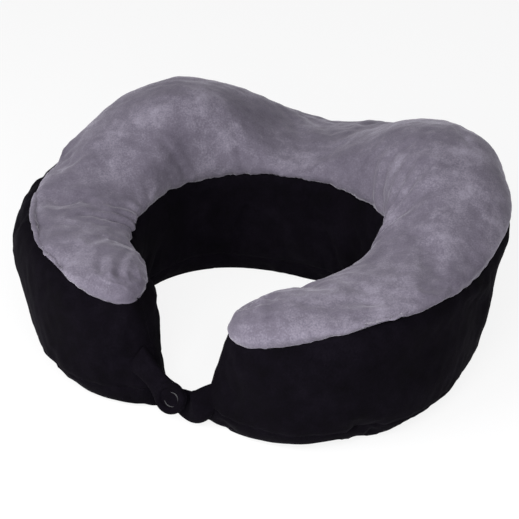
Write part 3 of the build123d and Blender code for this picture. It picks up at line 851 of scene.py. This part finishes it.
for node_name, (first, last) in panel_rows.items():
    places = picked_rows(cover, first, last)
    if node_name in ("outer_side_panel", "bottom_panel"):
        places = drawn_back(places, slot_opening, node_name == "outer_side_panel")
    slot_name = "grey_velour" if node_name == "top_panel" else "black_velour"
    piece = mesh_from(node_name.replace("panel", "cloth"), places, finishes[slot_name])
    thick = piece.modifiers.new("cloth thickness", "SOLIDIFY")
    thick.thickness = cloth_thickness
    thick.offset = -1
    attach(piece, "pillow")
    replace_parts(piece, node_name)
    print(piece.name, len(piece.data.vertices), "vertices")

# %% [markdown]
# ## Foam core
# The core is the same form a few millimetres inside the cloth, with a groove where the zip's
# slider passes. It can't be seen until the zip is opened, so it needs fewer columns. The cloth
# has been moved and dented since, so each point of the core that has come too near the cloth's
# outside, or through it, is put back behind it: a tree of the cover's faces finds the nearest.

# %% Foam core
core_inset = 8.0
core_step = 3
groove_depth = 7.5 * mm
groove_half_height = 8.0 * mm
groove_past_slot, groove_blend = 4, 2
core_cover = 5.0 * mm
core_reach = 1 - math.degrees(core_inset / mean_radius) / tip_angle
core_angles = angles[::core_step] * core_reach
core = on_ring(core_angles, section_loops(core_angles, core_inset))
by_slot = np.clip((slot_end + groove_past_slot - np.abs(core_angles)) / groove_blend, 0, 1)
from_zip = np.abs(core[..., 2] - floor_radius * mm)
near_zip = np.clip((groove_half_height - from_zip) / (2 * mm), 0, 1)
outer_half = np.linalg.norm(core[..., :2] - [0, ring_middle_y], axis=2) > 100 * mm
groove = groove_depth * by_slot[:, None] * near_zip * outer_half
core -= groove[..., None] * facing(core)
skin = mesh_from("skin", np.concatenate([cover, cover[:, :1]], 1), finishes["black_velour"])
bm = bmesh.new()
bm.from_mesh(skin.data)
skin_tree = BVHTree.FromBMesh(bm)
bm.free()
bpy.data.objects.remove(skin, do_unlink=True)
put_back = 0
for index in np.ndindex(core.shape[:2]):
    place, normal, _, away = skin_tree.find_nearest(Vector(core[index]))
    outside = (place - Vector(core[index])).dot(normal) < 0
    if outside or away < core_cover:
        core[index] = place - core_cover * normal
        put_back += 1
print(put_back, "points of the core put back behind the cloth")
core_piece = mesh_from("foam_body", np.concatenate([core, core[:, :1]], 1), finishes["memory_foam"])
bm = welded(core_piece.data, 0.01 * mm)
bmesh.ops.holes_fill(bm, edges=[edge for edge in bm.edges if edge.is_boundary])
bm.to_mesh(core_piece.data)
bm.free()
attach(core_piece, "pillow")
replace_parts(core_piece, "foam_core")

# %% [markdown]
# ## Zip
# A coil zip's teeth are one long spring of nylon on each tape, squashed flat and sewn down. From
# outside each turn shows as a short bar that reaches just past the middle, between two bars of
# the other side. One bar is modelled, and copies of it are turned round the ring's middle.

# %% Zip teeth
wall_lean = math.radians(12)
tooth_pitch = 1.3 * mm
tooth_radius = 0.34 * mm
tooth_reach = 2.35 * mm
tooth_overlap = 0.45 * mm
chain_from, chain_to = -42.0, 38.2
chain_depth = 3.95 * mm
tooth_rise = 0.45 * mm
tooth_bevel = 0.5 * tooth_radius
pitch_degrees = math.degrees(tooth_pitch / (zip_radius * mm))


def zip_matrix(angle):
    """Placement on the zip at an angle round the back: x along it, y up the wall, z out."""
    turn = math.radians(angle)
    out = Vector((math.sin(turn), math.cos(turn), 0))
    outward = out * math.cos(wall_lean) - Vector((0, 0, math.sin(wall_lean)))
    upward = out * math.sin(wall_lean) + Vector((0, 0, math.cos(wall_lean)))
    along = upward.cross(outward)
    origin = out * zip_radius * mm + Vector((0, ring_middle_y, floor_radius * mm))
    matrix = Matrix((along, upward, outward)).transposed().to_4x4()
    matrix.translation = origin
    return matrix


def tooth_mesh():
    """One rounded bar of nylon, lying up the wall on either side of the origin."""
    bm = bmesh.new()
    lay = Matrix.Rotation(math.pi / 2, 4, "X")
    size = {"radius1": tooth_radius, "radius2": tooth_radius, "depth": tooth_reach + tooth_overlap}
    bmesh.ops.create_cone(bm, cap_ends=True, segments=8, matrix=lay, **size)
    rims = [edge for edge in bm.edges if any(len(face.verts) == 8 for face in edge.link_faces)]
    bmesh.ops.bevel(
        bm, geom=rims, offset=tooth_bevel, affect="EDGES", segments=1, profile=0.5, material=-1
    )
    return mesh_of(bm, "tooth")


def zip_side(name, upper):
    """All the bars on one side of the chain. The lower side starts half a pitch earlier."""
    bar = tooth_mesh()
    bm = bmesh.new()
    count = int((chain_to - chain_from) / pitch_degrees)
    middle = (tooth_reach - tooth_overlap) / 2
    shift = Matrix.Translation((0, middle if upper else -middle, tooth_rise - chain_depth))
    for index in range(count):
        start = len(bm.verts)
        bm.from_mesh(bar)
        bm.verts.ensure_lookup_table()
        angle = chain_from + (index + (0.5 if upper else 0)) * pitch_degrees
        bmesh.ops.transform(bm, matrix=zip_matrix(angle) @ shift, verts=bm.verts[start:])
    mesh = mesh_of(bm, name)
    piece = new_piece(name, mesh, finishes["zip_coil"])
    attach(piece, "pillow")
    print(name, count, "bars,", len(mesh.polygons), "faces")
    return piece


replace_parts(zip_side("teeth_upper", True), "zipper_coil_upper")
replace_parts(zip_side("teeth_lower", False), "zipper_coil_lower")

# %% [markdown]
# ## Straps
# Each strap is a little velour bag round a thin wad of foam. It's made as a flat oval section
# carried along a line in the plane of the snap, wider and thicker where the strap is plump. Its
# root goes into the seam at the arm's tip.

# %% Straps
snap_tilt = math.radians(20)
snap_forward = 10.5
snap_origin = Vector((-2.5, ring_middle_y / mm - ring_half_depth - snap_forward, 14.5)) * mm
snap_out = Vector((0, -math.cos(snap_tilt), math.sin(snap_tilt)))
snap_right = Vector((1, 0, 0))
snap_up = snap_out.cross(snap_right)
snap_matrix = Matrix((snap_right, snap_up, snap_out)).transposed().to_4x4()
snap_matrix.translation = snap_origin
strap_sides = 40
strap_columns = 56
oval_power = 0.8


def soft_strap(name, rows_along, slot_name, node_name):
    """A plump strap. Each row gives x, y, half width, half thickness and layer, in millimetres."""
    values = np.array(rows_along, float)
    steps = np.linalg.norm(np.diff(values[:, :2], axis=0), axis=1)
    knots = np.concatenate([[0], np.cumsum(steps)])
    at = np.linspace(0, knots[-1], strap_columns)
    x, y, wide, thick, layer = smooth_through(knots, values)(at).T
    wide, thick = np.maximum(wide, 0.15), np.maximum(thick, 0.15)
    heading = np.stack([np.gradient(x), np.gradient(y)], 1)
    heading /= np.linalg.norm(heading, axis=1, keepdims=True)
    bm = bmesh.new()
    loops = []
    for column in range(strap_columns):
        made = bmesh.ops.create_circle(bm, segments=strap_sides, radius=1)["verts"]
        for vertex in made:
            turn = math.atan2(vertex.co.y, vertex.co.x)
            across = math.copysign(abs(math.cos(turn)) ** oval_power, math.cos(turn)) * wide[column]
            deep = math.copysign(abs(math.sin(turn)) ** oval_power, math.sin(turn)) * thick[column]
            side_x, side_y = -heading[column, 1] * across, heading[column, 0] * across
            vertex.co = Vector((x[column] + side_x, y[column] + side_y, layer[column] + deep)) * mm
        loops.append({edge for vertex in made for edge in vertex.link_edges})
    for before, after in zip(loops, loops[1:]):
        bmesh.ops.bridge_loops(bm, edges=list(before | after))
    bmesh.ops.holes_fill(bm, edges=[edge for edge in bm.edges if edge.is_boundary])
    bmesh.ops.recalc_face_normals(bm, faces=bm.faces)
    bmesh.ops.transform(bm, matrix=snap_matrix, verts=bm.verts)
    piece = new_piece(name, mesh_of(bm, name), finishes[slot_name])
    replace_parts(piece, node_name)
    print(name, round(float(knots[-1]), 1), "mm long")
    return piece


left_rows = (
    (-26.0, 17.5, 8.4, 2.2, 2.2),
    (-21.0, 14.8, 7.2, 3.0, 2.6),
    (-15.0, 11.2, 6.4, 3.4, 3.2),
    (-9.0, 6.6, 6.8, 2.4, 3.2),
    (-4.0, 2.6, 8.4, 1.7, 3.2),
    (2.0, -0.6, 8.4, 1.5, 3.1),
    (6.4, -3.0, 4.6, 1.2, 3.1),
    (7.8, -3.8, 0.3, 0.4, 3.1),
)
right_rows = (
    (27.0, 8.5, 7.4, 2.4, -2.7),
    (22.5, 6.0, 7.4, 3.6, -2.9),
    (17.5, 1.8, 8.2, 5.2, -2.4),
    (12.5, -2.6, 9.2, 5.8, -3.0),
    (8.0, -3.0, 8.6, 3.2, -4.0),
    (2.0, -0.8, 6.6, 1.1, -2.8),
    (-3.0, 0.2, 5.4, 1.1, -2.7),
    (-6.2, 0.6, 2.2, 0.9, -2.7),
    (-6.6, 0.6, 0.3, 0.4, -2.7),
)
left_strap = soft_strap("strap_left_cloth", left_rows, "black_velour", "strap_left")
right_strap = soft_strap("strap_right_cloth", right_rows, "black_velour", "strap_right")


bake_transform(left_strap)
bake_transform(right_strap)

# %% [markdown]
# ## Snap
# The outer cap of the snap is a shallow dish with a thick rolled rim. A profile turned round the
# snap's axis makes it. The socket, the stud and the back cap keep the frame's own shapes.

# %% Snap cap and its rim


def spun(name, profile, slot_name, body, sides=64):
    """A piece turned round the snap's axis. The profile is (radius, layer) in millimetres."""
    turns = np.linspace(0, math.tau, sides + 1)[:, None]
    radius, layer = np.array(profile, float).T
    flat = np.stack([radius * np.cos(turns), radius * np.sin(turns), layer + 0 * turns], -1) * mm
    places = flat @ np.array(snap_matrix.to_3x3()).T + np.array(snap_origin)
    piece = mesh_from(name, places, finishes[slot_name])
    bm = welded(piece.data, 0.001 * mm)
    bmesh.ops.recalc_face_normals(bm, faces=bm.faces)
    bm.to_mesh(piece.data)
    bm.free()
    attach(piece, body)
    print(name, len(piece.data.polygons), "faces")
    return piece


cap_profile = ((0, 1.7), (1.2, 1.7), (1.2, 3.0), (4.3, 3.0), (4.6, 3.3), (4.6, 4.3), (4.2, 4.7))
cap_profile += ((3.8, 4.6), (3.5, 4.2), (2.0, 3.7), (0, 3.6))
cap = spun("snap_dish", cap_profile, "snap_plastic", "left_strap")
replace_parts(cap, "snap_cap")

roll_radius, roll_middle, roll_layer = 2.1, 7.3, 4.0
roll_shift = (-1.0, 0.7)
roll_turns = np.linspace(0, math.tau, 17)
roll_profile = [
    (roll_middle + roll_radius * math.cos(turn), roll_layer + roll_radius * math.sin(turn))
    for turn in roll_turns
]
roll = spun("strap_roll", roll_profile, "black_velour", "left_strap")
roll.data.transform(Matrix.Translation(snap_matrix.to_3x3() @ (Vector((*roll_shift, 0)) * mm)))

# %% [markdown]
# ## Hard pieces of the frame
# The tapes, stops, slider, pull and the snap's hidden halves keep the frame's own meshes. They
# get their finishes, and the sharp ones a tiny bevel, because no moulded edge is a knife.

# %% Finishes of the frame's pieces
cad_slots = {part["node"]: part["material_slot"] for part in frame["record"]["subparts"]}
edge_bevels = {
    "zipper_slider": 0.22,
    "zipper_pull": 0.25,
    "zipper_top_stops": 0.15,
    "zipper_bottom_stop": 0.2,
    "snap_socket": 0.2,
    "snap_stud": 0.2,
    "snap_back_cap": 0.25,
}
for node_name, shown in cad.items():
    slot_name = cad_slots[node_name]
    shown.data.materials.clear()
    shown.data.materials.append(finishes[slot_name])
    if node_name in edge_bevels:
        weld = shown.modifiers.new("weld", "WELD")
        weld.merge_threshold = 0.005 * mm
        bevel = shown.modifiers.new("edges", "BEVEL")
        bevel.width = edge_bevels[node_name] * mm
        bevel.segments = 2
        bevel.limit_method = "ANGLE"
        bevel.angle_limit = math.radians(35)
print(len(cad), "pieces of the frame finished,", len(edge_bevels), "of them bevelled")

# %% [markdown]
# ## Floor and light
# The pillow stands in a pale studio. To the camera the floor is mostly plain white light with a
# little of the soft shadow, and to everything else it is matt and pale. The camera sees a white
# sky, and the cloth a dimmer one. A large soft box stands close on the left and a smaller one on
# the right, so the front is brighter than the back. Wide lamps give shadows a soft edge.

# %% Floor and light
floor_glow = 0.85
sky_light = 0.34
stage_material, tree = new_material("pale_floor")
path = add_node(tree, "ShaderNodeLightPath")
shaded = add_node(tree, "ShaderNodeBsdfDiffuse", {"Color": linear("F4F4F6")})
white = add_node(tree, "ShaderNodeEmission", {"Color": (1, 1, 1, 1), "Strength": 1})
links = {1: shaded.outputs[0], 2: white.outputs[0]}
glowing = add_node(tree, "ShaderNodeMixShader", {0: floor_glow}, links)
links = {0: path.outputs["Is Camera Ray"], 1: shaded.outputs[0], 2: glowing.outputs[0]}
seen = add_node(tree, "ShaderNodeMixShader", links=links)
add_node(tree, "ShaderNodeOutputMaterial", links={"Surface": seen.outputs[0]})
bm = bmesh.new()
bmesh.ops.create_grid(bm, x_segments=1, y_segments=1, size=4)
floor = new_piece("floor", mesh_of(bm, "floor"), stage_material)

world = bpy.data.worlds.new("studio")
world.use_nodes = True
bpy.context.scene.world = world
tree = world.node_tree
tree.nodes.clear()
path = add_node(tree, "ShaderNodeLightPath")
dim = add_node(tree, "ShaderNodeBackground", {"Color": (1, 1, 1, 1), "Strength": sky_light})
bright = add_node(tree, "ShaderNodeBackground", {"Color": (1, 1, 1, 1), "Strength": 1.0})
links = {0: path.outputs["Is Camera Ray"], 1: dim.outputs[0], 2: bright.outputs[0]}
mixed = add_node(tree, "ShaderNodeMixShader", links=links)
add_node(tree, "ShaderNodeOutputWorld", links={"Surface": mixed.outputs[0]})


def soft_box(name, place, size, power):
    """A square lamp that faces the pillow."""
    data = bpy.data.lights.new(name, "AREA")
    data.size = size
    data.energy = power
    lamp = bpy.data.objects.new(name, data)
    lamp.location = place
    lamp.rotation_euler = (look_at - lamp.location).to_track_quat("-Z", "Y").to_euler()
    bpy.context.scene.collection.objects.link(lamp)


soft_box("key", Vector((-0.5, -0.7, 0.65)), 0.6, 7.6)
soft_box("fill", Vector((0.2, -0.55, 0.42)), 0.4, 4.6)
bpy.context.scene.view_settings.view_transform = "Standard"
print("lights:", [light.name for light in bpy.data.lights])
